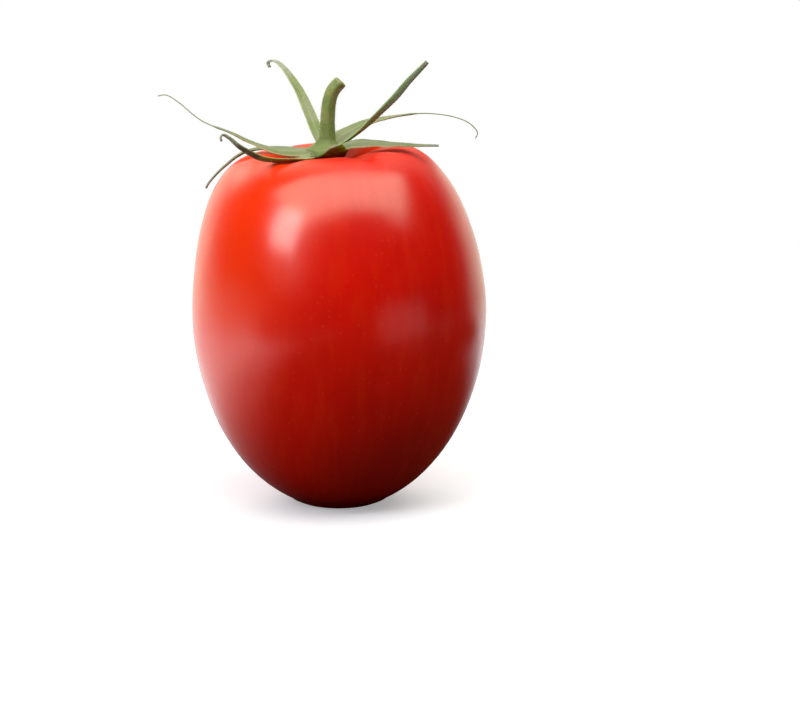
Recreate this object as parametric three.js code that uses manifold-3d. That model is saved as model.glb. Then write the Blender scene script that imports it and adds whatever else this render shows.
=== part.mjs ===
// A plum tomato standing on its blossom end, with the green calyx and stem still on it.
// Millimetres, +Z up. The origin is the centre of the small flat spot that the fruit rests on,
// and -Y is the front, where one sepal is torn short.
// Two pieces: the red fruit, and the green calyx whose sepals and stem grew as one body.
import * as THREE from 'three';
import { mergeVertices } from 'three/addons/utils/BufferGeometryUtils.js';
import Module from 'manifold-3d';

const wasm = await Module();
wasm.setup();

// Driving dimensions of the fruit
const BELLY_RADIUS = 28.9;
const BELLY_HEIGHT = 38;
const FOOT_RADIUS = 7;
const BLOSSOM_END_LENGTH = 39.2; // belly to the tip that the flat spot cuts off
const CROWN_RISE = 32; // belly to the highest ring of the shoulders
const CROWN_RADIUS = 14;
const DIMPLE_RISE = 29.2; // belly to the floor of the stem dimple
const SHOULDER_FULLNESS = 17; // how far the side runs straight up before it rounds over
const SHOULDER_REACH = 22.2; // how far out the flat of the shoulder runs
const DIMPLE_SLOPE = [8, 6]; // radii where the dimple's wall starts and ends

// How the fruit departs from a round body
const CROWN_SHIFT = -2.4; // along X, the stem end stands off the belly's axis
const CROWN_TILT = 0.07; // rise per millimetre of X at the crown
const SEED_CHAMBERS = 3;
const CHAMBER_SWELL = 0.006; // share of the radius
const CHAMBER_AZIMUTH = 0;
const CREASE_AZIMUTHS = [22, 72, 128, 184, 240, 301, 338];
const CREASE_DEPTH = 1.1;
const CREASE_HALF_WIDTH = 9; // degrees
const CREASE_RADIUS = 11; // where a crease is deepest
const CREASE_REACH = 5; // how far it runs in and out from there

// Driving dimensions of the calyx, measured from its middle, where the sepals join the stem
const CALYX_MIDDLE = new THREE.Vector3(CROWN_SHIFT, 0, 69.4);
const SEPAL_THICKNESS = 0.6;
const SEPAL_TIP_WIDTH = 0.6;
const FIRST_SEPAL_AZIMUTH = 20;

// The sepals in order round the stem, an even step apart. Each leaves its root at that azimuth and has
// veered by `veer` degrees at its furthest reach. `path` gives [reach, height] from the calyx's middle.
// `thread` is the share of the length where the blade has narrowed to a thread, `roll` turns its face
// about its length, at the root and at the tip, and `cup` lifts its edges by that share of its half width.
// `fold` lifts one edge above the other by that share, towards the tip.
const SEPALS = [
  {
    veer: -8, width: 2.7, thread: 1.7, roll: [0, -60], cup: 0.2,
    path: [[1.5, 1], [4, 2.3], [8, 5], [13.5, 10], [17, 14], [20.3, 17.5]],
  },
  {
    veer: -27, width: 4, thread: 0.5, roll: [10, 0], cup: 0.15,
    path: [
      [1.5, 1], [6, 2.7], [14, 4.7], [22, 5.6], [28.5, 5.7], [34, 4.7], [37, 3.2], [38.4, 1.3], [38, 0.3],
    ],
  },
  {
    veer: 8, width: 2.6, thread: 1.25, roll: [0, 0], cup: 0.25,
    path: [[1.5, 0.8], [3, 2], [6.8, 5], [13, 10.5], [20, 15], [24.5, 16.2], [26, 15.6], [25.3, 14.9]],
  },
  {
    veer: 14, width: 4, thread: 1.3, roll: [0, 0], cup: -0.1,
    path: [
      [1.5, 0.4], [7, 1.1], [12, 1], [16, 0.2], [18, -0.9], [20, -2.5], [22, -4.4], [23.8, -6.6],
      [24.2, -7.4],
    ],
  },
  {
    veer: -12, width: 5.2, thread: 0.72, roll: [-15, 0], cup: -0.1,
    path: [
      [1.5, 0.5], [5, 0.7], [10, 1], [15, 2.8], [18.5, 4.5], [24.2, 6.9], [29, 10.8], [31, 11.9],
      [32.5, 11.7],
    ],
  },
  {
    veer: -18, width: 2.6, thread: 1.35, roll: [-12, 40], cup: 0.2,
    path: [
      [1.5, 0.3], [8, 0.1], [11.5, 0.3], [16.5, 0.6], [20, 1.3], [24, 3.2], [26.4, 5.3], [27.7, 6],
      [28.1, 5.4], [27.9, 4.8],
    ],
  },
  {
    veer: -20, width: 8, thread: 4, roll: [4, 4], cup: 0.1, fold: 0.2,
    path: [[1.5, 0.3], [4, 0.4], [5.6, 0.75], [6.2, 1.1]],
  },
  {
    veer: 7, width: 4.8, thread: 0.9, roll: [15, 5], cup: -0.15,
    path: [[1.5, 0.8], [4.4, 2], [7, 2.5], [10, 2.6], [15.5, 2.5], [18.6, 2.4], [23, 2.4]],
  },
];

// The receptacle, the swollen disc that the sepals and the stem share, as [radius, height] from the middle
const RECEPTACLE = [
  [0, -1.4], [2.4, -1.35], [3.7, -0.5], [4.1, 0.3], [3.8, 0.9], [3, 1.4], [2.1, 2.4], [0, 2.8],
];

// The stem's line as [x, z] from the calyx's middle, and its radius along it
const STEM_LINE = [[0.2, 0.5], [0.3, 3], [0.4, 7.5], [0.8, 10.5], [1.5, 12.4], [2.8, 13.9]];
const STEM_RADII = [2.1, 1.6, 1.4, 1.35, 1.3, 1.28];

// How finely the solids are faceted
const FRUIT_SIDES = 60;
const FRUIT_RINGS = 9;
const SEPAL_STEPS = 20;
const SEPAL_STRIPS = 4;
const STEM_SIDES = 12;
const STEM_STEPS = 10;

const { degToRad, lerp, smoothstep } = THREE.MathUtils;

// A closed geometry as a solid that can be joined, with shared corners merged and collapsed faces dropped.
function solidOf(geometry) {
  const bare = geometry.clone();
  for (const name of Object.keys(bare.attributes)) {
    if (name !== 'position') bare.deleteAttribute(name);
  }
  const merged = mergeVertices(bare, 1e-4);
  const corners = merged.index.array;
  const triangles = [];
  for (let i = 0; i < corners.length; i += 3) {
    const [a, b, c] = [corners[i], corners[i + 1], corners[i + 2]];
    if (a !== b && b !== c && c !== a) triangles.push(a, b, c);
  }
  return new wasm.Manifold(new wasm.Mesh({
    numProp: 3,
    vertProperties: merged.attributes.position.array,
    triVerts: new Uint32Array(triangles),
  }));
}

function geometryOf(solid) {
  const mesh = solid.getMesh();
  const geometry = new THREE.BufferGeometry();
  geometry.setAttribute('position', new THREE.BufferAttribute(mesh.vertProperties, 3));
  geometry.setIndex(new THREE.BufferAttribute(mesh.triVerts, 1));
  geometry.computeVertexNormals();
  return geometry;
}

// The fruit's half outline: flat spot, elliptical blossom end, rounded shoulder, then down into the dimple.
function fruitOutline() {
  const crown = BELLY_HEIGHT + CROWN_RISE;
  const dimple = BELLY_HEIGHT + DIMPLE_RISE;
  const footAngle = Math.acos(FOOT_RADIUS / BELLY_RADIUS);
  const outline = new THREE.Path();
  outline.moveTo(0, 0);
  outline.lineTo(FOOT_RADIUS, 0);
  outline.absellipse(0, BELLY_HEIGHT, BELLY_RADIUS, BLOSSOM_END_LENGTH, -footAngle, 0);
  outline.bezierCurveTo(
    BELLY_RADIUS, BELLY_HEIGHT + SHOULDER_FULLNESS, SHOULDER_REACH, crown, CROWN_RADIUS, crown);
  outline.bezierCurveTo(DIMPLE_SLOPE[0], crown, DIMPLE_SLOPE[1], dimple, 0, dimple);
  const points = outline.getPoints(FRUIT_RINGS);
  points[1].y = 0;
  points[2].y = 0;
  return points;
}

// How deep the creases that run out from the stem dimple are at one place, in millimetres.
function creaseDepth(azimuth, radius) {
  const along = Math.exp(-(((radius - CREASE_RADIUS) / CREASE_REACH) ** 2));
  let across = 0;
  for (const crease of CREASE_AZIMUTHS) {
    const turn = THREE.MathUtils.euclideanModulo(azimuth - crease + 180, 360) - 180;
    across += Math.exp(-((turn / CREASE_HALF_WIDTH) ** 2));
  }
  return CREASE_DEPTH * along * across;
}

// Moves a point of the round body to where the real fruit has it.
function growFruit(point) {
  const radius = Math.hypot(point.x, point.y);
  const azimuth = THREE.MathUtils.radToDeg(Math.atan2(point.y, point.x));
  const rise = Math.max(0, (point.z - BELLY_HEIGHT) / CROWN_RISE) ** 2;
  const height = Math.min(1, point.z / (BELLY_HEIGHT + CROWN_RISE));
  const swell = CHAMBER_SWELL * Math.sin(Math.PI * height)
    * Math.cos(SEED_CHAMBERS * degToRad(azimuth - CHAMBER_AZIMUTH));
  point.z += CROWN_TILT * point.x * rise;
  if (rise > 0) point.z -= creaseDepth(azimuth, radius) * rise;
  point.x = point.x * (1 + swell) + CROWN_SHIFT * rise;
  point.y *= 1 + swell;
}

function fruitGeometry() {
  const geometry = new THREE.LatheGeometry(fruitOutline(), FRUIT_SIDES);
  geometry.rotateX(Math.PI / 2);
  const position = geometry.attributes.position;
  const point = new THREE.Vector3();
  for (let i = 0; i < position.count; i++) {
    point.fromBufferAttribute(position, i);
    growFruit(point);
    position.setXYZ(i, point.x, point.y, point.z);
  }
  return geometryOf(solidOf(geometry));
}

// A sepal's centreline, with the azimuth it has veered to at each of its points.
function sepalLine(sepal, rootAzimuth) {
  const furthest = Math.max(...sepal.path.map(([reach]) => reach));
  return new THREE.CatmullRomCurve3(sepal.path.map(([reach, height]) => {
    const azimuth = degToRad(rootAzimuth + sepal.veer * reach / furthest);
    return new THREE.Vector3(reach * Math.cos(azimuth), reach * Math.sin(azimuth), height);
  }), false, 'centripetal');
}

// A sepal's width at a share of its length: it swells from the root, then narrows to a thread.
function sepalWidth(sepal, share) {
  const swelling = lerp(0.75, 1, smoothstep(share, 0, 0.15));
  const narrowing = 1 - smoothstep(share, 0.1, sepal.thread);
  return Math.max(SEPAL_TIP_WIDTH, sepal.width * swelling * narrowing);
}

// One blade: a grid for its upper face, the same grid for its lower face, and a rim between them.
function sepalGeometry(sepal, rootAzimuth) {
  const line = sepalLine(sepal, rootAzimuth);
  const row = SEPAL_STRIPS + 1;
  const faceSize = row * (SEPAL_STEPS + 1);
  const faces = { upper: [], lower: [] };
  for (let i = 0; i <= SEPAL_STEPS; i++) {
    const share = i / SEPAL_STEPS;
    const middle = line.getPointAt(share);
    const along = line.getTangentAt(share);
    const azimuth = Math.atan2(middle.y, middle.x);
    const side = new THREE.Vector3(-Math.sin(azimuth), Math.cos(azimuth), 0);
    side.addScaledVector(along, -side.dot(along)).normalize();
    side.applyAxisAngle(along, degToRad(lerp(...sepal.roll, smoothstep(share, 0, 0.8))));
    const up = new THREE.Vector3().crossVectors(along, side);
    const halfWidth = sepalWidth(sepal, share) / 2;
    for (let j = 0; j <= SEPAL_STRIPS; j++) {
      const across = 2 * j / SEPAL_STRIPS - 1;
      const fold = (sepal.fold ?? 0) * smoothstep(share, 0.3, 1) * (2 * smoothstep(across, -0.6, 0.5) - 1);
      const point = middle.clone()
        .addScaledVector(side, across * halfWidth)
        .addScaledVector(up, (sepal.cup * across * across + fold) * halfWidth);
      faces.upper.push(point.clone().addScaledVector(up, SEPAL_THICKNESS / 2));
      faces.lower.push(point.clone().addScaledVector(up, -SEPAL_THICKNESS / 2));
    }
  }
  const triangles = [];
  const quad = (a, b, c, d) => triangles.push(a, b, c, a, c, d);
  for (let i = 0; i < SEPAL_STEPS; i++) {
    for (let j = 0; j < SEPAL_STRIPS; j++) {
      const a = i * row + j;
      quad(a, a + row, a + row + 1, a + 1);
      triangles.push(
        faceSize + a, faceSize + a + row + 1, faceSize + a + row,
        faceSize + a, faceSize + a + 1, faceSize + a + row + 1);
    }
  }
  const rim = [];
  for (let j = 0; j < SEPAL_STRIPS; j++) rim.push(j);
  for (let i = 0; i < SEPAL_STEPS; i++) rim.push(i * row + SEPAL_STRIPS);
  for (let j = SEPAL_STRIPS; j > 0; j--) rim.push(SEPAL_STEPS * row + j);
  for (let i = SEPAL_STEPS; i > 0; i--) rim.push(i * row);
  rim.forEach((a, i) => {
    const b = rim[(i + 1) % rim.length];
    quad(a, b, faceSize + b, faceSize + a);
  });
  const geometry = new THREE.BufferGeometry().setFromPoints([...faces.upper, ...faces.lower]);
  geometry.setIndex(triangles);
  return geometry;
}

// The stem: rings of changing radius along its line, closed at both ends.
function stemGeometry() {
  const line = new THREE.CatmullRomCurve3(STEM_LINE.map(([x, z]) => new THREE.Vector3(x, 0, z)));
  const radii = new THREE.SplineCurve(STEM_RADII.map((radius, i) => new THREE.Vector2(i, radius)));
  const points = [];
  for (let i = 0; i <= STEM_STEPS; i++) {
    const share = i / STEM_STEPS;
    const middle = line.getPoint(share);
    const along = line.getTangent(share);
    const side = new THREE.Vector3(0, 1, 0);
    const out = new THREE.Vector3().crossVectors(side, along);
    const radius = radii.getPoint(share).y;
    for (let j = 0; j < STEM_SIDES; j++) {
      const turn = 2 * Math.PI * j / STEM_SIDES;
      points.push(middle.clone()
        .addScaledVector(out, radius * Math.cos(turn))
        .addScaledVector(side, radius * Math.sin(turn)));
    }
  }
  const bottom = points.push(line.getPoint(0)) - 1;
  const top = points.push(line.getPoint(1)) - 1;
  const triangles = [];
  for (let j = 0; j < STEM_SIDES; j++) {
    const next = (j + 1) % STEM_SIDES;
    for (let i = 0; i < STEM_STEPS; i++) {
      const a = i * STEM_SIDES + j;
      const b = i * STEM_SIDES + next;
      triangles.push(a, b, b + STEM_SIDES, a, b + STEM_SIDES, a + STEM_SIDES);
    }
    const last = STEM_STEPS * STEM_SIDES;
    triangles.push(bottom, next, j, top, last + j, last + next);
  }
  const geometry = new THREE.BufferGeometry().setFromPoints(points);
  geometry.setIndex(triangles);
  return geometry;
}

function receptacleGeometry() {
  const outline = RECEPTACLE.map(([radius, height]) => new THREE.Vector2(radius, height));
  return new THREE.LatheGeometry(outline, 2 * STEM_SIDES).rotateX(Math.PI / 2);
}

function calyxGeometry() {
  let calyx = solidOf(receptacleGeometry()).add(solidOf(stemGeometry()));
  SEPALS.forEach((sepal, i) => {
    const rootAzimuth = FIRST_SEPAL_AZIMUTH + 360 * i / SEPALS.length;
    calyx = calyx.add(solidOf(sepalGeometry(sepal, rootAzimuth)));
  });
  return geometryOf(calyx);
}

const skin = new THREE.MeshStandardMaterial({ color: 0xd42a0c, roughness: 0.3, metalness: 0 });
const green = new THREE.MeshStandardMaterial({ color: 0x71854a, roughness: 0.65, metalness: 0 });

const fruit = new THREE.Mesh(fruitGeometry(), skin);
fruit.name = 'fruit';

const calyx = new THREE.Mesh(calyxGeometry(), green);
calyx.name = 'calyx_and_stem';
calyx.position.copy(CALYX_MIDDLE);

const tomato = new THREE.Group();
tomato.add(fruit, calyx);

export default tomato;
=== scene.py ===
"""A ripe plum tomato on a white studio floor: its skin, its withered calyx, its stem and fine hairs."""

import math
import random

import bpy
from mathutils import Matrix, Vector, noise


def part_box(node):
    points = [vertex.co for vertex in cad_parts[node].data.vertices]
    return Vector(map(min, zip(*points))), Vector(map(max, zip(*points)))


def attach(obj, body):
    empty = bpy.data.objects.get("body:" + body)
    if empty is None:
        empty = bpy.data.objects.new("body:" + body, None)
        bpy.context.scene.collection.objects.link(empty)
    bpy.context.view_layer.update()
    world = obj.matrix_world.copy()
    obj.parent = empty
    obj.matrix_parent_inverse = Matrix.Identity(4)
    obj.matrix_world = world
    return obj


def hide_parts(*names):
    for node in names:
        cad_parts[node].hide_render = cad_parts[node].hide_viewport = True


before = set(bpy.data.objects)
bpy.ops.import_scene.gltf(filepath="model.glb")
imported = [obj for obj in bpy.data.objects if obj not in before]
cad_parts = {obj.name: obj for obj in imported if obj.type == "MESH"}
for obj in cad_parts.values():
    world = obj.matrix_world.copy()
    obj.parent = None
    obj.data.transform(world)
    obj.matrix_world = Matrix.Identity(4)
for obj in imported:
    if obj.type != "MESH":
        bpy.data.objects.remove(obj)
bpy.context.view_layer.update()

bl_info = {
    "name": "Plum Tomato",
    "version": (1, 0, 0),
    "blender": (4, 5, 0),
    "location": "3D View > Sidebar > Tomato",
    "description": "Dresses a plum tomato with its skin, calyx, stem and hairs, and lights it in a studio",
    "category": "Add Mesh",
}

MM = 0.001
BODY = "root"
FRUIT_NODE = "fruit"
CALYX_NODE = "calyx_and_stem"
PICTURE_WIDTH = 800

FRUIT_LOW, FRUIT_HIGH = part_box(FRUIT_NODE)
CROWN_TOP = FRUIT_HIGH[2]

# The fruit's form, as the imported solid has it
FRUIT_SIDES = 180
FOOT_RINGS = 12
BELLY_RINGS = 60
SHOULDER_RINGS = 44
DIMPLE_RINGS = 34
DIMPLE_SLOPE = (8 * MM, 6 * MM)
SEED_CHAMBERS = 3
CHAMBER_SWELL = 0.006
CREASE_AZIMUTHS = (22, 72, 128, 184, 240, 301, 338)
CREASE_HALF_WIDTH = 9
CREASE_RADIUS = 11 * MM
CREASE_REACH = 5 * MM
CREASE_ATTRIBUTE = "crease"

# The dull skin before the stem, with painted shade under the calyx: its middle, from the calyx's, and the
# radii between which it fades
CALYX_SHADE_MIDDLE = (2.5 * MM, -7 * MM)
CALYX_SHADE_RADII = (7.5 * MM, 11.5 * MM)

# The sepals in order round the stem, an even step apart. Each leaves its root at that azimuth and has
# veered by `veer` degrees at its furthest reach. `path` gives (reach, height) in millimetres from the
# calyx's middle. `thread` is the share of the length where the blade has narrowed to a thread, `roll`
# turns its face about its length, at the root and at the tip, and `cup` lifts its edges by that share
# of its half width. `fold` lifts one edge above the other by that share, towards the tip. `wither` is how
# far the drying of its tip has come and `blotch` where a dark patch starts and ends, as shares of the
# length. `tone` scales the brightness of its colour, `tint` the three parts of the painted shade that its
# under face has close to the fruit, and `dry` pales the rim of that face. A torn one has a ragged pale end.
SEPALS = (
    dict(name="sepal_right_tall", veer=-8, width=2.9, thread=1.7, roll=(0, -60), cup=0.2,
         wither=0.15, tint=(0.3, 2, 1),
         path=((1.5, 1), (4, 2.3), (8, 5), (13.5, 10), (17, 14), (20.3, 17.5))),
    dict(name="sepal_right_long", veer=-27, width=4, thread=0.72, roll=(10, 0), cup=0.15,
         wither=0.6, tone=0.93,
         path=((1.5, 1), (6, 2.7), (14, 4.7), (22, 5.6), (28.5, 5.7), (34, 4.7), (37, 3.2), (38.4, 1.3),
               (38, 0.3))),
    dict(name="sepal_left_tall", veer=8, width=2.7, thread=1.45, roll=(0, 0), cup=0.25,
         wither=0.4, tone=1.06,
         path=((1.5, 0.8), (3, 2), (6.8, 5), (13, 10.5), (20, 15), (24.5, 16.2), (26, 15.6),
               (25.3, 14.9))),
    dict(name="sepal_left_drooping", veer=14, width=2.8, thread=1.4, roll=(0, 0), cup=-0.1,
         wither=0.35, tone=0.72, tint=(0.45, 1.2, 1.3),
         path=((1.5, 0.4), (7, 0.8), (12, 0.75), (16, 0.1), (18, -0.9), (20, -2.5), (22, -4.4),
               (23.8, -6.6), (24.2, -7.4))),
    dict(name="sepal_left_long", veer=-12, width=5.2, thread=0.72, roll=(-15, 0), cup=-0.1,
         wither=0.55, tone=0.88,
         path=((1.5, 0.5), (5, 0.7), (10, 1), (15, 2.8), (18.5, 4.5), (24.2, 6.9), (29, 10.8), (31, 11.9),
               (32.5, 11.7))),
    dict(name="sepal_front_curled", veer=-18, width=2.6, thread=1.35, roll=(-12, 40), cup=0.2,
         wither=0.45, tone=1.05, dry=0.5, blotch=(0.66, 0.8),
         path=((1.5, 0.3), (8, -0.25), (11.5, -0.1), (16.5, 0.25), (20, 1.1), (24, 3.2), (26.4, 5.3),
               (27.7, 6), (28.1, 5.4), (27.9, 4.8))),
    dict(name="sepal_front_torn", veer=-20, width=8, thread=4, roll=(4, 4), cup=0.1, fold=0.2,
         wither=0.02, tone=0.58, tint=(1.5, 3.8, 2), dry=0.3, torn=True,
         path=((1.5, 0.3), (4, 0.4), (5.6, 0.75), (6.2, 1.1))),
    dict(name="sepal_right_low", veer=7, width=5.2, thread=1.25, roll=(17, 5), cup=-0.15,
         wither=0.2, tone=0.72,
         path=((1.5, 0.8), (4.4, 2), (7, 2.5), (10, 2.6), (15.5, 2.5), (18.6, 2.4), (23, 2.4))),
)
BLADE_STEPS = 84
BLADE_STRIPS = 14
# How far a blade wanders to its side, and how far a torn end is ragged
BLADE_DRIFT = 0.25 * MM
TEAR_DEPTH = 0.3 * MM

# The receptacle that the sepals and the stem share, as (radius, height), then the stem's own line as
# (x, z) and its radii, all in millimetres from the calyx's middle
RECEPTACLE = ((0.4, -1.4), (2.4, -1.35), (3.7, -0.5), (4.1, 0.3), (3.8, 0.9), (3.0, 1.4), (2.3, 2.0))
STEM_LINE = ((0.2, 0.5), (0.3, 3), (0.4, 7.5), (0.8, 10.5), (1.5, 12.4), (2.8, 13.9))
STEM_RADII = (2.1, 1.6, 1.4, 1.35, 1.3, 1.28)
RECEPTACLE_RINGS = 24
STEM_RINGS = 60
# Where the stem leaves the receptacle, as a share of its line
STEM_START = 0.16
# The rings of the stem's broken end, as (share of the radius, push along the stem in millimetres)
CUT_RINGS = ((0.98, 0.14), (0.93, 0.26), (0.85, 0.32), (0.76, 0.28), (0.5, 0.12), (0.25, 0.08))

# The hairs: the share of them that stands on the stem, the radius of a root, how deep it is sunk, how far
# a hair leans, and half the width of the narrowest stretch that has hairs
HAIR_SEED = 11
STEM_HAIR_SHARE = 0.3
HAIR_RADIUS = 0.022 * MM
HAIR_SINK = 0.05 * MM
HAIR_LEAN = 0.35
HAIRY_HALF_WIDTH = 0.6 * MM

# The studio in metres: the dark cards on the floor as (x, y, radius), the place, size and colour of each
# light, and where the lights point
FLOOR_SIDES = 96
CARDS = ((0.09, -0.12, 0.24), (-0.19, -0.26, 0.19), (0.2, 0.06, 0.11))
OVERHEAD_LIGHT = ((0.07, -0.2, 0.62), (1.22, 0.56), (1.0, 0.94, 0.74))
WINDOW_LIGHT = ((-0.355, -0.385, 0.35), (0.25, 0.25), (1.0, 0.97, 0.93))
LOW_LIGHT = ((0.16, -0.13, 0.018), (0.138, 0.046), (1.0, 0.97, 0.93))
LIGHT_TARGET = Vector((0, 0, 0.04))
ROOM_COLOUR = (1, 0.93, 0.76, 1)
WHITE = (1, 1, 1, 1)


class TomatoFruitSettings(bpy.types.PropertyGroup):
    """Sizes and colours of the fruit"""

    belly_radius: bpy.props.FloatProperty(
        name="Belly Radius", description="Half the width of the fruit at its widest",
        default=(FRUIT_HIGH[1] - FRUIT_LOW[1]) / 2, unit="LENGTH")
    belly_height: bpy.props.FloatProperty(
        name="Belly Height", description="Height of the widest place above the floor",
        default=38 * MM, unit="LENGTH")
    foot_radius: bpy.props.FloatProperty(
        name="Foot Radius", description="Radius of the flat spot that the fruit rests on",
        default=7 * MM, unit="LENGTH")
    blossom_end_length: bpy.props.FloatProperty(
        name="Blossom End Length", description="From the belly down to the tip that the flat spot cuts off",
        default=39.2 * MM, unit="LENGTH")
    crown_rise: bpy.props.FloatProperty(
        name="Crown Rise", description="From the belly up to the highest ring of the shoulders",
        default=32 * MM, unit="LENGTH")
    crown_radius: bpy.props.FloatProperty(
        name="Crown Radius", description="Radius of the highest ring of the shoulders",
        default=14 * MM, unit="LENGTH")
    dimple_rise: bpy.props.FloatProperty(
        name="Dimple Rise", description="From the belly up to the floor of the stem dimple",
        default=29.2 * MM, unit="LENGTH")
    shoulder_fullness: bpy.props.FloatProperty(
        name="Shoulder Fullness", description="How far the side runs straight up before it rounds over",
        default=17 * MM, unit="LENGTH")
    shoulder_reach: bpy.props.FloatProperty(
        name="Shoulder Reach", description="How far out the flat of the shoulder runs",
        default=22.2 * MM, unit="LENGTH")
    crown_shift: bpy.props.FloatProperty(
        name="Crown Shift", description="How far the stem end stands off the belly's axis, along X",
        default=-2.4 * MM, unit="LENGTH")
    crown_tilt: bpy.props.FloatProperty(
        name="Crown Tilt", description="Rise of the crown for each length along X", default=0.07)
    crease_depth: bpy.props.FloatProperty(
        name="Crease Depth", description="Depth of the creases that run out from the stem",
        default=1.1 * MM, unit="LENGTH")
    unevenness: bpy.props.FloatProperty(
        name="Unevenness", description="How far the skin swells and sinks between its chambers",
        default=0.14 * MM, unit="LENGTH")
    ripe: bpy.props.FloatVectorProperty(
        name="Ripe Red", description="Colour of the ripe skin", subtype="COLOR", size=3,
        default=(0.74, 0.006, 0.0005), min=0, max=1)
    deep: bpy.props.FloatVectorProperty(
        name="Deep Red", description="Colour of the darker patches", subtype="COLOR", size=3,
        default=(0.63, 0.004, 0.0003), min=0, max=1)
    # Blush and painted light on the upper left side
    blush_and_painted_light: bpy.props.FloatVectorProperty(
        name="Blush", description="Colour of the side that faced the sun", subtype="COLOR", size=3,
        default=(0.95, 0.036, 0.0012), min=0, max=1)
    shoulder: bpy.props.FloatVectorProperty(
        name="Shoulder Orange", description="Colour of the skin round the stem", subtype="COLOR", size=3,
        default=(0.84, 0.050, 0.003), min=0, max=1)
    speck: bpy.props.FloatVectorProperty(
        name="Speck", description="Colour of the fine pale dots in the skin", subtype="COLOR", size=3,
        default=(0.86, 0.09, 0.02), min=0, max=1)
    scar: bpy.props.FloatVectorProperty(
        name="Blossom Scar", description="Colour of the scar that the flower left", subtype="COLOR", size=3,
        default=(0.22, 0.12, 0.05), min=0, max=1)


class TomatoCalyxSettings(bpy.types.PropertyGroup):
    """Sizes and colours of the sepals, the stem and their hairs"""

    middle: bpy.props.FloatVectorProperty(
        name="Middle", description="Where the sepals join the stem", subtype="TRANSLATION", unit="LENGTH",
        size=3, default=(-2.4 * MM, 0, 69.4 * MM))
    first_azimuth: bpy.props.FloatProperty(
        name="First Azimuth", description="Direction of the first sepal, from +X towards +Y",
        default=math.radians(20), subtype="ANGLE")
    thickness: bpy.props.FloatProperty(
        name="Thickness", description="Thickness of a blade along its midrib",
        default=0.5 * MM, unit="LENGTH")
    thread_width: bpy.props.FloatProperty(
        name="Thread Width", description="Width of a withered tip", default=0.23 * MM, unit="LENGTH")
    hair_count: bpy.props.IntProperty(
        name="Hairs", description="Hairs on the stem and the sepals", default=2600, min=0)
    hair_length: bpy.props.FloatProperty(
        name="Hair Length", description="Longest hair", default=0.55 * MM, unit="LENGTH")
    upper: bpy.props.FloatVectorProperty(
        name="Upper Face", description="Colour of a sepal's upper face", subtype="COLOR", size=3,
        default=(0.148, 0.237, 0.085), min=0, max=1)
    # Partly the under face's own paler green and partly painted light, for the light that shines through the
    # thin blade
    under: bpy.props.FloatVectorProperty(
        name="Under Face", description="Colour of a sepal's under face", subtype="COLOR", size=3,
        default=(0.24, 0.41, 0.25), min=0, max=1)
    # Painted shade, its hue set against the red light that the fruit throws on the sepals
    shaded: bpy.props.FloatVectorProperty(
        name="Shaded Face", description="Colour of an under face close to the fruit", subtype="COLOR",
        size=3, default=(0.05, 0.24, 0.016), min=0, max=1)
    rim: bpy.props.FloatVectorProperty(
        name="Rim", description="Colour of the dry edge", subtype="COLOR", size=3,
        default=(0.56, 0.51, 0.27), min=0, max=1)
    withered: bpy.props.FloatVectorProperty(
        name="Withered", description="Colour of the faded patches", subtype="COLOR", size=3,
        default=(0.31, 0.33, 0.29), min=0, max=1)
    dried: bpy.props.FloatVectorProperty(
        name="Dried", description="Colour of the dried tips", subtype="COLOR", size=3,
        default=(0.36, 0.39, 0.38), min=0, max=1)
    stem: bpy.props.FloatVectorProperty(
        name="Stem", description="Colour of the stem", subtype="COLOR", size=3,
        default=(0.2, 0.31, 0.08), min=0, max=1)
    cut: bpy.props.FloatVectorProperty(
        name="Cut End", description="Colour of the stem's broken end", subtype="COLOR", size=3,
        default=(0.36, 0.34, 0.16), min=0, max=1)
    hair: bpy.props.FloatVectorProperty(
        name="Hair", description="Colour of the hairs", subtype="COLOR", size=3,
        default=(0.55, 0.58, 0.42), min=0, max=1)


class TomatoStageSettings(bpy.types.PropertyGroup):
    """The floor, the light and the camera"""

    camera: bpy.props.FloatVectorProperty(
        name="Camera", description="Where the camera stands", subtype="TRANSLATION", unit="LENGTH", size=3,
        default=(12.09 * MM, -541.63 * MM, 134.84 * MM))
    target: bpy.props.FloatVectorProperty(
        name="Target", description="Where the camera looks", subtype="TRANSLATION", unit="LENGTH", size=3,
        default=(12.09 * MM, -1.73 * MM, 29.89 * MM))
    focal_pixels: bpy.props.FloatProperty(
        name="Focal Length in Pixels", description="Pixels of the picture for each unit of slope",
        default=2788.5)
    floor_radius: bpy.props.FloatProperty(
        name="Floor Radius", description="Where the floor has faded into the white background",
        default=0.36, unit="LENGTH")
    floor: bpy.props.FloatVectorProperty(
        name="Floor", description="Colour of the floor", subtype="COLOR", size=3,
        default=(0.76, 0.81, 1.0), min=0, max=1)
    card: bpy.props.FloatVectorProperty(
        name="Card", description="Colour of the dark red cards that only the light sees, around the fruit",
        subtype="COLOR", size=3, default=(0.10, 0.025, 0.015), min=0, max=1)
    overhead_power: bpy.props.FloatProperty(
        name="Overhead Power", description="Power of the large soft light above", default=7.1,
        unit="POWER")
    window_power: bpy.props.FloatProperty(
        name="Window Power", description="Power of the smaller light at the front left", default=1.3,
        unit="POWER")
    low_power: bpy.props.FloatProperty(
        name="Low Power", description="Power of the faint light low at the right", default=0.0075,
        unit="POWER")
    room: bpy.props.FloatProperty(
        name="Room", description="Brightness of the white room behind the tomato", default=0.55)


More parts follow.
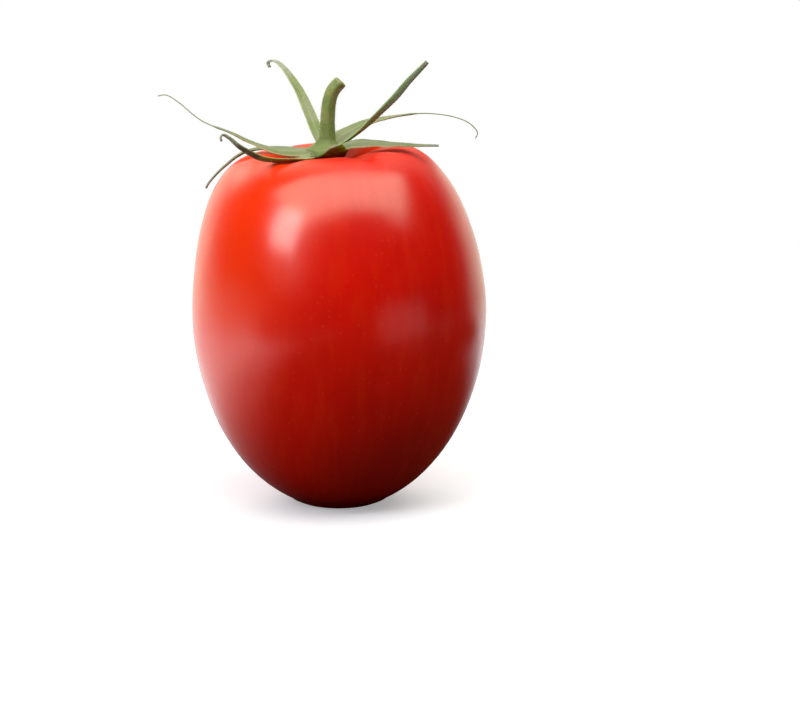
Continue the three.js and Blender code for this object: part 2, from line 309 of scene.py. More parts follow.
class Shade:
    """A shader node's output. Arithmetic on it adds Math nodes to its tree."""

    def __init__(self, tree, socket=None):
        self.tree = tree
        self.socket = socket

    def add(self, kind, settings=None, sockets=None, output=0):
        """Adds a node, sets its settings and then its sockets, and returns one of its outputs."""
        node = self.tree.nodes.new("ShaderNode" + kind)
        for name, value in (settings or {}).items():
            setattr(node, name, value)
        for name, value in (sockets or {}).items():
            if isinstance(value, Shade):
                self.tree.links.new(value.socket, node.inputs[name])
            else:
                node.inputs[name].default_value = value
        return Shade(self.tree, node.outputs[output] if node.outputs else None)

    def math(self, operation, *values):
        """A Math node on this value and others."""
        return self.add("Math", {"operation": operation}, dict(enumerate((self, *values))))

    def between(self, low, high):
        """0 below `low`, 1 above `high` and smooth between them."""
        return self.add("MapRange", {"interpolation_type": "SMOOTHSTEP"},
                        {"Value": self, "From Min": low, "From Max": high})

    def mix(self, first, second):
        """The colour that lies between two colours by this share."""
        sockets = {0: self, 6: colour_of(first), 7: colour_of(second)}
        return self.add("Mix", {"data_type": "RGBA"}, sockets, output=2)

    def __add__(self, other):
        return self.math("ADD", other)

    def __radd__(self, other):
        return self.math("ADD", other)

    def __sub__(self, other):
        return self.math("SUBTRACT", other)

    def __rsub__(self, other):
        return self.add("Math", {"operation": "SUBTRACT"}, {0: other, 1: self})

    def __mul__(self, other):
        return self.math("MULTIPLY", other)

    def __rmul__(self, other):
        return self.math("MULTIPLY", other)

    def __truediv__(self, other):
        return self.math("DIVIDE", other)

    def __pow__(self, other):
        return self.math("POWER", other)


def colour_of(value):
    """A shade as it is, or three numbers as an opaque colour."""
    return value if isinstance(value, Shade) else (*value, 1)


def dimmed(colour, share):
    """A colour with its three parts scaled."""
    return [channel * share for channel in colour]


def new_material(name):
    """An empty node material with its shade to start from."""
    material = bpy.data.materials.new(name)
    material.use_nodes = True
    material.node_tree.nodes.clear()
    return material, Shade(material.node_tree)


def finish_material(shade, surface):
    """Makes a shader the surface of its material."""
    shade.add("OutputMaterial", None, {"Surface": surface})


def noise_of(shade, place, scale, detail):
    """Soft noise at a place."""
    return shade.add("TexNoise", None, {"Vector": place, "Scale": scale, "Detail": detail})


def distance_of(x, y):
    """How far two parts of a place are from zero."""
    return (x * x + y * y) ** 0.5


def axis_parts(shade, place):
    """The three numbers of a vector."""
    node = shade.add("SeparateXYZ", None, {"Vector": place}).socket.node
    return [Shade(shade.tree, output) for output in node.outputs]


def skin_material(fruit, middle):
    """Waxy ripe skin: red with deeper clouds, faint streaks down from the stem and fine pale specks, a blush
    with painted light on the upper left and painted shade before the stem.
    """
    material, start = new_material("ripe_tomato_skin")
    place = start.add("TexCoord", output=3)
    x, y, z = axis_parts(start, place)
    off_x = x - middle[0]
    radius = distance_of(off_x, y)
    around = start.add("CombineXYZ", None, {"X": off_x / (radius + MM), "Y": y / (radius + MM), "Z": z * 9})
    clouds = noise_of(start, place, 55, 3).between(0.35, 0.7)
    streaks = noise_of(start, around, 14, 3).between(0.42, 0.72)
    colour = (clouds * 0.75).mix(fruit.ripe, fruit.deep)
    # Blush and painted light: the upper left, where the lights stand, is painted brighter and more orange,
    # partly as the side that faced the sun and partly as painted light.
    lit_sun_side = (z * 0.25 - x * 0.8).between(12 * MM, 30 * MM)
    colour = lit_sun_side.mix(colour, fruit.blush_and_painted_light)
    colour = (streaks * 0.14).mix(colour, fruit.shoulder)
    crown = z.between(CROWN_TOP - 9 * MM, CROWN_TOP) * (1 - radius.between(7 * MM, 21 * MM))
    colour = (crown * 0.7).mix(colour, fruit.shoulder)
    cells = start.add("TexVoronoi", None, {"Vector": place, "Scale": 900, "Randomness": 1})
    draw, _, _ = axis_parts(start, Shade(start.tree, cells.socket.node.outputs["Color"]))
    specks = (1 - cells.between(0.12, 0.3)) * draw.between(0.6, 0.9)
    colour = (specks * 0.2).mix(colour, fruit.speck)
    foot = (1 - z.between(0.2 * MM, 3 * MM)) * 0.35
    colour = foot.mix(colour, fruit.shoulder)
    edge = noise_of(start, place, 900, 2) * 0.8 * MM
    scar = (1 - z.between(1 * MM, 2 * MM)) * (1 - (distance_of(x, y) + edge).between(1.3 * MM, 2 * MM))
    colour = scar.mix(colour, fruit.scar)
    crease = start.add("Attribute", {"attribute_name": CREASE_ATTRIBUTE}, output=2)
    # Painted shade: round the stem and before it, where the calyx shades the fruit, the skin is painted
    # darker and swapped for a matt copy; the creases get the matt copy too, without its reflections.
    from_shade_middle = distance_of(off_x - CALYX_SHADE_MIDDLE[0], y - CALYX_SHADE_MIDDLE[1])
    calyx_shade = (1 - radius.between(9 * MM, 13 * MM)).math("MAXIMUM", 1 - from_shade_middle.between(*CALYX_SHADE_RADII))
    calyx_shade = calyx_shade * z.between(CROWN_TOP - 9 * MM, CROWN_TOP - 5 * MM)
    shadowed = (calyx_shade * 0.4).mix(colour, dimmed(fruit.deep, 0.35))
    dull = calyx_shade.math("MAXIMUM", crease.between(0.02, 0.3))
    soft_crown = z.between(CROWN_TOP - 5 * MM, CROWN_TOP - 1.5 * MM)
    roughness = 0.2 + noise_of(start, place, 130, 3) * 0.08 + scar * 0.3
    pores = noise_of(start, place, 1500, 2)
    normal = start.add("Bump", None, {"Strength": 0.1, "Distance": 0.05 * MM, "Height": pores})
    flesh = {"Normal": normal, "Subsurface Weight": 0.2, "Subsurface Radius": (1.0, 0.12, 0.04),
             "Subsurface Scale": 3 * MM}
    wax = {"Base Color": colour, "IOR": 1.45, "Specular IOR Level": 1.0, "Coat Weight": 0.12,
           "Coat Roughness": 0.2, "Coat IOR": 1.4, **flesh}
    glossy = start.add("BsdfPrincipled", None, {"Roughness": roughness, **wax})
    satin = start.add("BsdfPrincipled", None, {**wax, "Roughness": 0.6, "Coat Weight": 0.0})
    matt = start.add("BsdfPrincipled", None, {
        "Base Color": shadowed, "Roughness": 0.6, "Specular IOR Level": 0.05, **flesh})
    waxy = start.add("MixShader", None, {0: soft_crown, 1: glossy, 2: satin})
    finish_material(start, start.add("MixShader", None, {0: dull, 1: waxy, 2: matt}))
    return material


def sepal_material(calyx, sepal, upper):
    """One face of a sepal: veined green that pales along the rim and greys towards the dried tip, with
    painted shade on the under face close to the fruit.
    """
    material, start = new_material(sepal["name"] + ("_upper" if upper else "_under"))
    vein_depth = (0.05 if upper else 0.08) * MM
    dryness = 0.5 if upper else sepal.get("dry", 0.12)
    blade = start.add("UVMap", {"uv_map": "blade"})
    along, across, _ = axis_parts(start, blade)
    place = start.add("TexCoord", output=3)
    off_rib = (across - 0.5).math("ABSOLUTE") * 2
    _, _, height = axis_parts(start, place)
    # Painted shade: close to the fruit the under face is painted in the darker shaded colour, its hue set
    # against the fruit's red light.
    raised = height.between(calyx.middle[2] + 1 * MM, calyx.middle[2] + 8 * MM)
    mottle = noise_of(start, place, 260, 1).between(0.3, 0.72)
    fibres = start.add("CombineXYZ", None, {"X": along * 1.5, "Y": across * 6, "Z": 0.0})
    fibre = noise_of(start, fibres, 2.0, 1).between(0.3, 0.75)
    tint = sepal.get("tint", (1, 1, 1))
    shaded = [channel * part for channel, part in zip(calyx.shaded, tint)]
    face = calyx.upper if upper else raised.mix(shaded, calyx.under)
    colour = (mottle * 0.5).mix(face, calyx.withered)
    colour = (fibre * dryness * 0.4).mix(colour, calyx.rim)
    rib = 1 - off_rib.between(0.03, 0.16)
    colour = (rib * dryness * 0.4).mix(colour, calyx.rim)
    ragged = off_rib + noise_of(start, place, 500, 1) * 0.16
    rim = ragged.between(0.88, 1.0)
    wither = sepal["wither"]
    dried = (along + noise_of(start, place, 300, 2) * 0.3 - 0.15).between(1 - wither, 1.05 - wither * 0.3)
    colour = (dried * 0.9).mix(colour, calyx.dried)
    rim = rim * (1 - dried)
    if "blotch" in sepal:
        first, last = sepal["blotch"]
        blotch = along.between(first - 0.05, first) * (1 - along.between(last, last + 0.05))
        colour = (blotch * 0.8).mix(colour, dimmed(calyx.withered, 0.2))
    if sepal.get("torn"):
        rim = rim.math("MAXIMUM", (along + noise_of(start, place, 500, 2) * 0.1).between(0.93, 0.98))
    colour = (rim * dryness).mix(colour, calyx.rim)
    colour = start.add("HueSaturation", None, {"Color": colour, "Value": sepal.get("tone", 1.0)})
    veins = (along * 26 + off_rib * 5).math("SINE") * 0.12
    relief = (fibre + veins) * (1 - rib) + mottle * 0.6
    normal = start.add("Bump", None, {"Strength": 0.4, "Distance": vein_depth, "Height": relief})
    roughness = 0.55 + mottle * 0.2 + dried * 0.1
    surface = start.add("BsdfPrincipled", None, {
        "Base Color": colour, "Roughness": roughness, "Normal": normal, "Sheen Weight": 0.08,
        "Sheen Roughness": 0.4, "Subsurface Weight": 0.35, "Subsurface Radius": (0.6, 1.0, 0.3),
        "Subsurface Scale": 1.0 * MM})
    finish_material(start, surface)
    return material


def stem_material(calyx):
    """Ridged green stem with dark fibres and pale patches, darker at its foot, with painted shade under the
    receptacle.
    """
    material, start = new_material("tomato_stem")
    place = start.add("TexCoord", output=3)
    x, y, z = axis_parts(start, place)
    drawn_out = start.add("CombineXYZ", None, {"X": x, "Y": y, "Z": z * 0.16})
    fibre = noise_of(start, drawn_out, 1700, 3).between(0.32, 0.7)
    mottle = noise_of(start, place, 330, 3).between(0.35, 0.7)
    colour = (fibre * 0.5).mix(calyx.stem, dimmed(calyx.stem, 0.55))
    colour = (mottle * 0.3).mix(colour, calyx.rim)
    height = z - calyx.middle[2]
    low = 1 - height.between(2 * MM, 6 * MM)
    colour = (low * 0.5).mix(colour, dimmed(calyx.stem, 0.5))
    end = height.between(12 * MM, 15 * MM)
    colour = (end * 0.2).mix(colour, calyx.withered)
    # Painted shade under the receptacle, where it sits against the fruit
    shade_below = 1 - height.between(-1.2 * MM, 0.8 * MM)
    colour = (shade_below * 0.9).mix(colour, dimmed(calyx.withered, 0.3))
    relief = fibre + mottle * 0.5
    normal = start.add("Bump", None, {"Strength": 0.45, "Distance": 0.1 * MM, "Height": relief})
    surface = start.add("BsdfPrincipled", None, {
        "Base Color": colour, "Roughness": 0.55 + mottle * 0.15, "Normal": normal, "Sheen Weight": 0.08,
        "Sheen Roughness": 0.4, "Subsurface Weight": 0.4, "Subsurface Radius": (0.6, 1.0, 0.25),
        "Subsurface Scale": 1.2 * MM})
    finish_material(start, surface)
    return material


def cut_material(calyx):
    """The stem's broken end: pale, grainy pith."""
    material, start = new_material("stem_broken_end")
    place = start.add("TexCoord", output=3)
    grain = noise_of(start, place, 2400, 3).between(0.3, 0.7)
    colour = (grain * 0.45).mix(calyx.cut, calyx.stem)
    normal = start.add("Bump", None, {"Strength": 0.7, "Distance": 0.15 * MM, "Height": grain})
    surface = start.add("BsdfPrincipled", None, {
        "Base Color": colour, "Roughness": 0.7 + grain * 0.2, "Normal": normal})
    finish_material(start, surface)
    return material


def hair_material(calyx):
    """Glassy pale hairs, some of them greener."""
    material, start = new_material("sepal_hair")
    place = start.add("TexCoord", output=3)
    tint = noise_of(start, place, 500, 1).between(0.3, 0.7)
    colour = (tint * 0.6).mix(calyx.hair, calyx.upper)
    surface = start.add("BsdfPrincipled", None, {
        "Base Color": colour, "Roughness": 0.4 + tint * 0.1, "Transmission Weight": 0.2})
    finish_material(start, surface)
    return material


def floor_material(stage):
    """White floor that fades into the background, with dark cards on it that the camera can't see."""
    material, start = new_material("studio_floor")
    place = start.add("TexCoord", output=3)
    x, y, _ = axis_parts(start, place)
    fade = distance_of(x, y).between(stage.floor_radius * 0.35, stage.floor_radius)
    grain = noise_of(start, place, 40, 3)
    paper = start.add("BsdfPrincipled", None, {
        "Base Color": colour_of(stage.floor), "Roughness": 0.55 + grain * 0.1, "Specular IOR Level": 0.2,
        "Emission Color": WHITE, "Emission Strength": 0.35, "Alpha": 1 - fade})
    card = 0
    for card_x, card_y, card_radius in CARDS:
        disc = 1 - distance_of(x - card_x, y - card_y).between(card_radius * 0.6, card_radius)
        card = disc.math("MAXIMUM", card)
    unseen = 1 - start.add("LightPath", output=0)
    dark = start.add("BsdfDiffuse", None, {"Color": colour_of(stage.card)})
    surface = start.add("MixShader", None, {0: card * unseen, 1: paper, 2: dark})
    finish_material(start, surface)
    return material


def smoothstep(value, low, high):
    """0 below `low`, 1 above `high` and smooth between them."""
    share = min(1.0, max(0.0, (value - low) / (high - low)))
    return share * share * (3 - 2 * share)


def lerp(first, second, share):
    """The number that lies between two numbers by a share."""
    return first + (second - first) * share


def bezier(points, count):
    """Points along a cubic curve, without its first."""
    curve = []
    for i in range(1, count + 1):
        t = i / count
        weights = ((1 - t) ** 3, 3 * t * (1 - t) ** 2, 3 * t * t * (1 - t), t ** 3)
        curve.append(tuple(sum(w * p[axis] for w, p in zip(weights, points)) for axis in (0, 1)))
    return curve


class Line:
    """A smooth line through points, read by the share of its length."""

    def __init__(self, points, steps=40):
        knots = [2 * points[0] - points[1], *points, 2 * points[-1] - points[-2]]
        self.points = [points[0]]
        for i in range(len(points) - 1):
            self.points += self._span(*knots[i:i + 4], steps)
        self.reached = [0.0]
        for a, b in zip(self.points, self.points[1:]):
            self.reached.append(self.reached[-1] + (b - a).length)

    @staticmethod
    def _span(p0, p1, p2, p3, steps):
        """The stretch between two points, drawn evenly through bends by the root of each distance."""
        d0, d1, d2 = (math.sqrt((b - a).length) for a, b in ((p0, p1), (p1, p2), (p2, p3)))
        leave = ((p1 - p0) / d0 - (p2 - p0) / (d0 + d1) + (p2 - p1) / d1) * d1
        arrive = ((p2 - p1) / d1 - (p3 - p1) / (d1 + d2) + (p3 - p2) / d2) * d1
        span = []
        for i in range(1, steps + 1):
            t = i / steps
            span.append(p1 + leave * t + (3 * (p2 - p1) - 2 * leave - arrive) * t ** 2
                        + (2 * (p1 - p2) + leave + arrive) * t ** 3)
        return span

    def at(self, share):
        """The place and the direction at a share of the length."""
        want = min(1.0, max(0.0, share)) * self.reached[-1]
        low, high = 0, len(self.points) - 1
        while high - low > 1:
            middle = (low + high) // 2
            if self.reached[middle] <= want:
                low = middle
            else:
                high = middle
        step = self.points[high] - self.points[low]
        part = (want - self.reached[low]) / (self.reached[high] - self.reached[low])
        return self.points[low] + step * part, step.normalized()


def loft(name, rings, first, last, materials, finish_of=None, uv_of=None):
    """A closed skin over rings of points, with a middle point at either end."""
    size = len(rings[0])
    points = [first] + [point for ring in rings for point in ring] + [last]
    faces = []
    finishes = []
    for i in range(len(rings) - 1):
        for j in range(size):
            a = 1 + i * size + j
            b = 1 + i * size + (j + 1) % size
            faces.append((a, b, b + size, a + size))
            finishes.append(finish_of(i, j) if finish_of else 0)
    tail = 1 + (len(rings) - 1) * size
    for j in range(size):
        k = (j + 1) % size
        faces.append((0, 1 + k, 1 + j))
        finishes.append(finish_of(0, j) if finish_of else 0)
        faces.append((len(points) - 1, tail + j, tail + k))
        finishes.append(finish_of(len(rings) - 1, j) if finish_of else 0)
    mesh = bpy.data.meshes.new(name)
    mesh.from_pydata(points, [], faces)
    for material in materials:
        mesh.materials.append(material)
    mesh.polygons.foreach_set("material_index", finishes)
    mesh.polygons.foreach_set("use_smooth", [True] * len(faces))
    if uv_of:
        corners = [uv_of(0, 0)] + [uv_of(i, j) for i in range(len(rings)) for j in range(size)]
        corners.append(uv_of(len(rings) - 1, 0))
        layer = mesh.uv_layers.new(name="blade")
        for loop in mesh.loops:
            layer.data[loop.index].uv = corners[loop.vertex_index]
    mesh.validate()
    piece = bpy.data.objects.new(name, mesh)
    bpy.context.collection.objects.link(piece)
    return piece


def place_piece(piece, node):
    """Makes a piece part of the tomato, standing for one of its solids."""
    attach(piece, BODY)
    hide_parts(node)


def fruit_outline(fruit):
    """The fruit's half outline as (radius, height), from the flat spot up and into the dimple."""
    crown = fruit.belly_height + fruit.crown_rise
    dimple = fruit.belly_height + fruit.dimple_rise
    foot_angle = math.acos(fruit.foot_radius / fruit.belly_radius)
    outline = [(fruit.foot_radius * i / FOOT_RINGS, 0.0) for i in range(1, FOOT_RINGS + 1)]
    for i in range(1, BELLY_RINGS + 1):
        angle = -foot_angle * (1 - i / BELLY_RINGS)
        outline.append((fruit.belly_radius * math.cos(angle),
                        fruit.belly_height + fruit.blossom_end_length * math.sin(angle)))
    outline += bezier((outline[-1], (fruit.belly_radius, fruit.belly_height + fruit.shoulder_fullness),
                       (fruit.shoulder_reach, crown), (fruit.crown_radius, crown)), SHOULDER_RINGS)
    outline += bezier((outline[-1], (DIMPLE_SLOPE[0], crown), (DIMPLE_SLOPE[1], dimple),
                       (0.1 * MM, dimple)), DIMPLE_RINGS)
    lowest = outline[FOOT_RINGS][1]
    return [(radius, max(0.0, height - lowest * (height < 1 * MM))) for radius, height in outline]


def crease_depth(fruit, azimuth, radius):
    """How deep the creases that run out from the stem are at one place."""
    along = math.exp(-((radius - CREASE_RADIUS) / CREASE_REACH) ** 2)
    across = 0.0
    for crease in CREASE_AZIMUTHS:
        turn = (azimuth - crease + 180) % 360 - 180
        across += math.exp(-(turn / CREASE_HALF_WIDTH) ** 2)
    return fruit.crease_depth * along * across


def grow_fruit(fruit, radius, azimuth, height):
    """Where the real fruit has a point of the round body."""
    turn = math.radians(azimuth)
    rise = max(0.0, (height - fruit.belly_height) / fruit.crown_rise) ** 2
    level = min(1.0, height / (fruit.belly_height + fruit.crown_rise))
    swell = 1 + CHAMBER_SWELL * math.sin(math.pi * level) * math.cos(SEED_CHAMBERS * turn)
    x = radius * math.cos(turn)
    lifted = height + fruit.crown_tilt * x * rise - crease_depth(fruit, azimuth, radius) * rise
    point = Vector((x * swell + fruit.crown_shift * rise, radius * math.sin(turn) * swell, lifted))
    outward = Vector((math.cos(turn), math.sin(turn), 0.0))
    bumps = noise.noise(point / (15 * MM)) + 0.4 * noise.noise(point / (6 * MM))
    bumpy = smoothstep(height, 1 * MM, 12 * MM) * (radius > 9 * MM)
    return point + outward * fruit.unevenness * bumps * bumpy


def mark_creases(piece, fruit, outline, azimuths):
    """Writes how deep in a crease each point of the upper fruit lies, as a share of the deepest."""
    shares = [0.0]
    for radius, height in outline:
        upper = height > fruit.belly_height
        shares += [upper * crease_depth(fruit, azimuth, radius) / fruit.crease_depth for azimuth in azimuths]
    shares.append(0.0)
    piece.data.attributes.new(CREASE_ATTRIBUTE, "FLOAT", "POINT").data.foreach_set("value", shares)


class Blade:
    """The form of one sepal."""

    def __init__(self, sepal, root_azimuth, calyx):
        self.sepal = sepal
        self.calyx = calyx
        furthest = max(reach for reach, _ in sepal["path"])
        points = []
        for reach, height in sepal["path"]:
            azimuth = root_azimuth + math.radians(sepal["veer"]) * reach / furthest
            points.append(Vector((reach * math.cos(azimuth), reach * math.sin(azimuth), height)) * MM)
        self.line = Line(points)
        self.shift = 31.7 * root_azimuth

    def half_width(self, share):
        """Half the width at a share of the length: it swells from the root, then narrows to a thread."""
        swelling = lerp(0.75, 1, smoothstep(share, 0, 0.15))
        narrowing = 1 - smoothstep(share, 0.1, self.sepal["thread"])
        return max(self.calyx.thread_width, self.sepal["width"] * MM * swelling * narrowing) / 2

    def frame_at(self, share):
        """The middle, the side and the upper direction of the blade at a share of its length."""
        middle, along = self.line.at(share)
        azimuth = math.atan2(middle.y, middle.x)
        side = Vector((-math.sin(azimuth), math.cos(azimuth), 0.0))
        side = (side - along * side.dot(along)).normalized()
        roll = math.radians(lerp(*self.sepal["roll"], smoothstep(share, 0, 0.8)))
        side = Matrix.Rotation(roll, 3, along) @ side
        return middle, side, along.cross(side)

    def point(self, share, across, upper):
        """A place on the skin: `across` runs from -1 to 1, on the upper or the under face."""
        middle, side, up = self.frame_at(share)
        half_width = self.half_width(share)
        broad = smoothstep(half_width, 0.3 * MM, 1.2 * MM)
        wave = noise.noise(Vector((share * 7, across * 0.8, self.shift))) * 0.5
        lift = self.sepal["cup"] * across ** 2 + 0.22 * broad * wave * abs(across)
        fold = self.sepal.get("fold", 0) * smoothstep(share, 0.3, 1)
        lift += fold * (2 * smoothstep(across, -0.6, 0.5) - 1)
        thick = min(self.calyx.thickness / 2, half_width * 1.1) * lerp(1.5, 1, smoothstep(share, 0, 0.12))
        belly = math.sqrt(max(0.0, 1 - across ** 2)) * lerp(0.9, 1, broad)
        rib = math.exp(-(across / 0.14) ** 2) * broad
        rise = thick * (belly - 0.35 * rib) if upper else -thick * (belly + 0.7 * rib)
        tear = 0.0
        if self.sepal.get("torn"):
            ragged = noise.noise(Vector((across * 2.6, self.shift, 0))) + 0.5 * noise.noise(
                Vector((across * 8, self.shift, 4)))
            tear = TEAR_DEPTH * ragged * smoothstep(share, 0.5, 1)
        drift = noise.noise(Vector((share * 4, self.shift, 9))) * BLADE_DRIFT * smoothstep(share, 0.2, 0.7)
        return (Vector(self.calyx.middle) + middle + side * (across * half_width + drift)
                + up * (lift * half_width + rise) + up.cross(side) * -tear)


def sepal_piece(blade, materials):
    """One sepal as a closed blade whose two faces have a finish each."""
    spread = [-math.cos(math.pi * j / BLADE_STRIPS) for j in range(BLADE_STRIPS + 1)]
    outline = [(across, True) for across in spread[:-1]] + [(across, False) for across in spread[:0:-1]]
    rings = []
    for i in range(BLADE_STEPS + 1):
        rings.append([blade.point(i / BLADE_STEPS, across, upper) for across, upper in outline])
    ends = [sum(ring, Vector()) / len(ring) for ring in (rings[0], rings[-1])]
    return loft(blade.sepal["name"], rings, ends[0], ends[1], materials,
                finish_of=lambda i, j: 0 if j < BLADE_STRIPS else 1,
                uv_of=lambda i, j: (i / BLADE_STEPS, (outline[j][0] + 1) / 2))


class Stem:
    """The form of the stem and the receptacle that it stands on."""

    SIDES = 48
    RIDGES = 5

    def __init__(self, calyx):
        self.calyx = calyx
        self.line = Line([Vector((x, 0, z)) * MM for x, z in STEM_LINE])
        self.radii = Line([Vector((i, radius * MM, 0)) for i, radius in enumerate(STEM_RADII)])
        self.base = Line([Vector((radius, 0, height)) * MM for radius, height in RECEPTACLE])

    def ridge(self, turn, share):
        """How far the stem's ridges stand out, as a share of its radius."""
        wander = 0.5 * noise.noise(Vector((math.cos(turn), math.sin(turn), share * 3)))
        return 1 + 0.05 * math.cos(self.RIDGES * turn + share * 1.4) + 0.06 * wander

    def base_point(self, share, turn):
        """A place on the receptacle, which swells towards each sepal."""
        place, _ = self.base.at(share)
        lobes = math.cos(len(SEPALS) * (turn - self.calyx.first_azimuth))
        out = place.x * (1 + 0.09 * lobes * smoothstep(place.x, 2 * MM, 4.5 * MM))
        return Vector(self.calyx.middle) + Vector((out * math.cos(turn), out * math.sin(turn), place.z))

    def point(self, share, turn, width=1.0, push=0.0):
        """A place on the stem, at a share of its radius and pushed along it."""
        place, along = self.line.at(share)
        back = Vector((0.0, 1.0, 0.0))
        out = back.cross(along)
        radius = self.radii.at(share)[0].y * width * self.ridge(turn, share)
        return (Vector(self.calyx.middle) + place + along * push
                + (out * math.cos(turn) + back * math.sin(turn)) * radius)


def stem_piece(calyx, materials):
    """The stem with its receptacle, ridged along its length and broken off at the top."""
    stem = Stem(calyx)
    turns = [2 * math.pi * j / stem.SIDES for j in range(stem.SIDES)]
    rings = []
    for i in range(RECEPTACLE_RINGS + 1):
        rings.append([stem.base_point(i / RECEPTACLE_RINGS, turn) for turn in turns])
    for i in range(STEM_RINGS + 1):
        rings.append([stem.point(lerp(STEM_START, 1, i / STEM_RINGS), turn) for turn in turns])
    cut_start = len(rings)
    for width, push in CUT_RINGS:
        rings.append([stem.point(1, turn, width, push * MM) for turn in turns])
    bottom = Vector(calyx.middle) + Vector((0, 0, RECEPTACLE[0][1] * MM))
    top = stem.point(1, 0, 0, 0.06 * MM)
    return loft("stem", rings, bottom, top, materials, finish_of=lambda i, j: 0 if i < cut_start else 1)


def hairs_piece(calyx, blades, material):
    """Fine hairs that stand out from the stem and from both faces of the sepals."""
    draw = random.Random(HAIR_SEED)
    stem = Stem(calyx)
    points = []
    faces = []
    for _ in range(calyx.hair_count):
        if draw.random() < STEM_HAIR_SHARE:
            share = draw.uniform(0.2, 0.98)
            turn = draw.uniform(0, 2 * math.pi)
            root = stem.point(share, turn, 0.99)
            out = (root - stem.point(share, turn, 0)).normalized()
        else:
            blade = draw.choice(blades)
            share = draw.uniform(0.06, 0.85)
            across = draw.uniform(-0.98, 0.98)
            upper = draw.random() < 0.5
            if blade.half_width(share) < HAIRY_HALF_WIDTH:
                continue
            root = blade.point(share, across, upper)
            _, side, up = blade.frame_at(share)
            out = (up if upper else -up) + side * across * 0.8
        lean = Vector((draw.gauss(0, 1), draw.gauss(0, 1), draw.gauss(0, 1))) * HAIR_LEAN
        out = (out.normalized() + lean).normalized()
        length = calyx.hair_length * draw.uniform(0.3, 1)
        first = out.orthogonal().normalized() * HAIR_RADIUS
        start = len(points)
        for k in range(3):
            points.append(root + Matrix.Rotation(2 * math.pi * k / 3, 3, out) @ first - out * HAIR_SINK)
        points.append(root + out * length)
        faces += [(start, start + 1, start + 3), (start + 1, start + 2, start + 3),
                  (start + 2, start, start + 3), (start, start + 2, start + 1)]
    mesh = bpy.data.meshes.new("calyx_hairs")
    mesh.from_pydata(points, [], faces)
    mesh.materials.append(material)
    piece = bpy.data.objects.new("calyx_hairs", mesh)
    bpy.context.collection.objects.link(piece)
    return piece


def sepal_blades(calyx):
    """The forms of all the sepals, round the stem."""
    step = 2 * math.pi / len(SEPALS)
    return [Blade(sepal, calyx.first_azimuth + step * i, calyx) for i, sepal in enumerate(SEPALS)]


class TOMATO_OT_fruit(bpy.types.Operator):
    """Makes the fruit"""

    bl_idname = "tomato.fruit"
    bl_label = "Fruit"

    def execute(self, context):
        fruit = context.scene.tomato_fruit
        outline = fruit_outline(fruit)
        azimuths = [360 * j / FRUIT_SIDES for j in range(FRUIT_SIDES)]
        rings = []
        for radius, height in outline:
            rings.append([grow_fruit(fruit, radius, azimuth, height) for azimuth in azimuths])
        first = Vector((0, 0, rings[0][0].z))
        last = sum(rings[-1], Vector()) / FRUIT_SIDES
        skin = skin_material(fruit, context.scene.tomato_calyx.middle)
        piece = loft("fruit_skin", rings, first, last, [skin])
        mark_creases(piece, fruit, outline, azimuths)
        place_piece(piece, FRUIT_NODE)
        return {"FINISHED"}


class TOMATO_OT_sepals(bpy.types.Operator):
    """Makes the sepals of the calyx"""

    bl_idname = "tomato.sepals"
    bl_label = "Sepals"

    def execute(self, context):
        calyx = context.scene.tomato_calyx
        for blade in sepal_blades(calyx):
            materials = [sepal_material(calyx, blade.sepal, upper) for upper in (True, False)]
            place_piece(sepal_piece(blade, materials), CALYX_NODE)
        return {"FINISHED"}


class TOMATO_OT_stem(bpy.types.Operator):
    """Makes the stem and the receptacle under it"""

    bl_idname = "tomato.stem"
    bl_label = "Stem"

    def execute(self, context):
        calyx = context.scene.tomato_calyx
        piece = stem_piece(calyx, [stem_material(calyx), cut_material(calyx)])
        place_piece(piece, CALYX_NODE)
        return {"FINISHED"}


class TOMATO_OT_hairs(bpy.types.Operator):
    """Makes the fine hairs on the stem and the sepals"""

    bl_idname = "tomato.hairs"
    bl_label = "Hairs"

    def execute(self, context):
        calyx = context.scene.tomato_calyx
        piece = hairs_piece(calyx, sepal_blades(calyx), hair_material(calyx))
        place_piece(piece, CALYX_NODE)
        return {"FINISHED"}


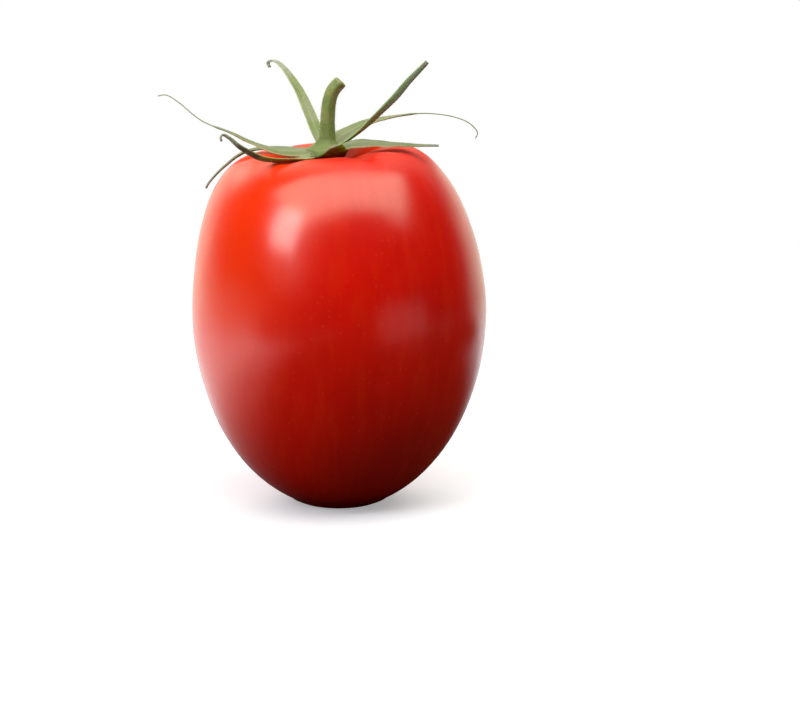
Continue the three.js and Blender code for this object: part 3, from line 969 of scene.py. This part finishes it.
class TOMATO_OT_stage(bpy.types.Operator):
    """Makes the floor, the lights, the room and the camera"""

    bl_idname = "tomato.stage"
    bl_label = "Stage"

    def execute(self, context):
        stage = context.scene.tomato_stage
        self.add_floor(context, stage)
        self.add_light(context, "overhead_light", stage.overhead_power, *OVERHEAD_LIGHT)
        self.add_light(context, "window_light", stage.window_power, *WINDOW_LIGHT)
        self.add_light(context, "low_light", stage.low_power, *LOW_LIGHT)
        self.light_room(context, stage)
        self.add_camera(context, stage)
        context.scene.view_settings.view_transform = "Standard"
        return {"FINISHED"}

    def add_floor(self, context, stage):
        """The floor, as a disc that fades out."""
        points = [Vector((0, 0, 0))]
        for j in range(FLOOR_SIDES):
            turn = 2 * math.pi * j / FLOOR_SIDES
            points.append(Vector((math.cos(turn), math.sin(turn), 0)) * stage.floor_radius)
        faces = [(0, 1 + j, 1 + (j + 1) % FLOOR_SIDES) for j in range(FLOOR_SIDES)]
        mesh = bpy.data.meshes.new("studio_floor")
        mesh.from_pydata(points, [], faces)
        mesh.materials.append(floor_material(stage))
        floor = bpy.data.objects.new("studio_floor", mesh)
        context.collection.objects.link(floor)

    def add_light(self, context, name, power, place, size, colour):
        """One soft light that points at the tomato."""
        light = bpy.data.lights.new(name, "AREA")
        light.shape = "RECTANGLE"
        light.size, light.size_y = size
        light.energy = power
        light.color = colour
        lamp = bpy.data.objects.new(name, light)
        lamp.location = place
        aim = LIGHT_TARGET - Vector(place)
        lamp.rotation_euler = aim.to_track_quat("-Z", "Y").to_euler()
        lamp.visible_camera = False
        context.collection.objects.link(lamp)

    def light_room(self, context, stage):
        """A room that is brightest at the back, and plain white to the camera."""
        world = bpy.data.worlds.new("white_room")
        world.use_nodes = True
        world.node_tree.nodes.clear()
        start = Shade(world.node_tree)
        x, y, z = axis_parts(start, start.add("TexCoord", output=0))
        back = y.between(0.42, 0.85) * (1 - z.between(0.05, 0.4) * x.between(-0.1, 0.4) * 0.7) * 2.2
        left = (x * -1).between(0.35, 0.85) * y.between(0.2, 0.5) * 0.6
        ceiling = y.between(0.3, 0.6) * z.between(0.3, 0.5) * (1 - x.between(-0.25, 0.15) * 0.9) * 2.6
        low_left = (x * -1).between(0.75, 0.95) * (1 - z.between(-0.08, 0.02))
        brightness = (0.03 + back + left + low_left + ceiling) * stage.room
        room = start.add("Background", None, {"Color": ROOM_COLOUR, "Strength": brightness})
        white = start.add("Background", None, {"Color": WHITE, "Strength": 1.0})
        seen = start.add("LightPath", output=0)
        surface = start.add("MixShader", None, {0: seen, 1: room, 2: white})
        start.add("OutputWorld", None, {"Surface": surface})
        context.scene.world = world

    def add_camera(self, context, stage):
        """The camera, framed for a picture of the width that is given in pixels."""
        lens = bpy.data.cameras.new("camera")
        lens.sensor_fit = "HORIZONTAL"
        lens.lens = stage.focal_pixels / PICTURE_WIDTH * lens.sensor_width
        lens.clip_start = 1 * MM
        camera = bpy.data.objects.new("camera", lens)
        camera.location = stage.camera
        aim = Vector(stage.target) - Vector(stage.camera)
        camera.rotation_euler = aim.to_track_quat("-Z", "Y").to_euler()
        context.collection.objects.link(camera)
        context.scene.camera = camera


class TOMATO_PT_panel(bpy.types.Panel):
    """Lists the tomato's pieces and their settings"""

    bl_idname = "TOMATO_PT_panel"
    bl_label = "Plum Tomato"
    bl_space_type = "VIEW_3D"
    bl_region_type = "UI"
    bl_category = "Tomato"

    def draw(self, context):
        layout = self.layout
        for operator in OPERATORS:
            layout.operator(operator.bl_idname)
        for name in SETTINGS:
            box = layout.box()
            settings = getattr(context.scene, name)
            for key in settings.bl_rna.properties.keys():
                if key not in ("name", "rna_type"):
                    box.prop(settings, key)


SETTINGS = {
    "tomato_fruit": TomatoFruitSettings,
    "tomato_calyx": TomatoCalyxSettings,
    "tomato_stage": TomatoStageSettings,
}
OPERATORS = (TOMATO_OT_fruit, TOMATO_OT_sepals, TOMATO_OT_stem, TOMATO_OT_hairs, TOMATO_OT_stage)
CLASSES = (*SETTINGS.values(), *OPERATORS, TOMATO_PT_panel)


def register():
    for cls in CLASSES:
        bpy.utils.register_class(cls)
    for name, group in SETTINGS.items():
        setattr(bpy.types.Scene, name, bpy.props.PointerProperty(type=group))


def unregister():
    for name in SETTINGS:
        delattr(bpy.types.Scene, name)
    for cls in reversed(CLASSES):
        bpy.utils.unregister_class(cls)


def main():
    register()
    bpy.ops.tomato.fruit()
    bpy.ops.tomato.sepals()
    bpy.ops.tomato.stem()
    bpy.ops.tomato.hairs()
    bpy.ops.tomato.stage()


if __name__ == "__main__":
    main()
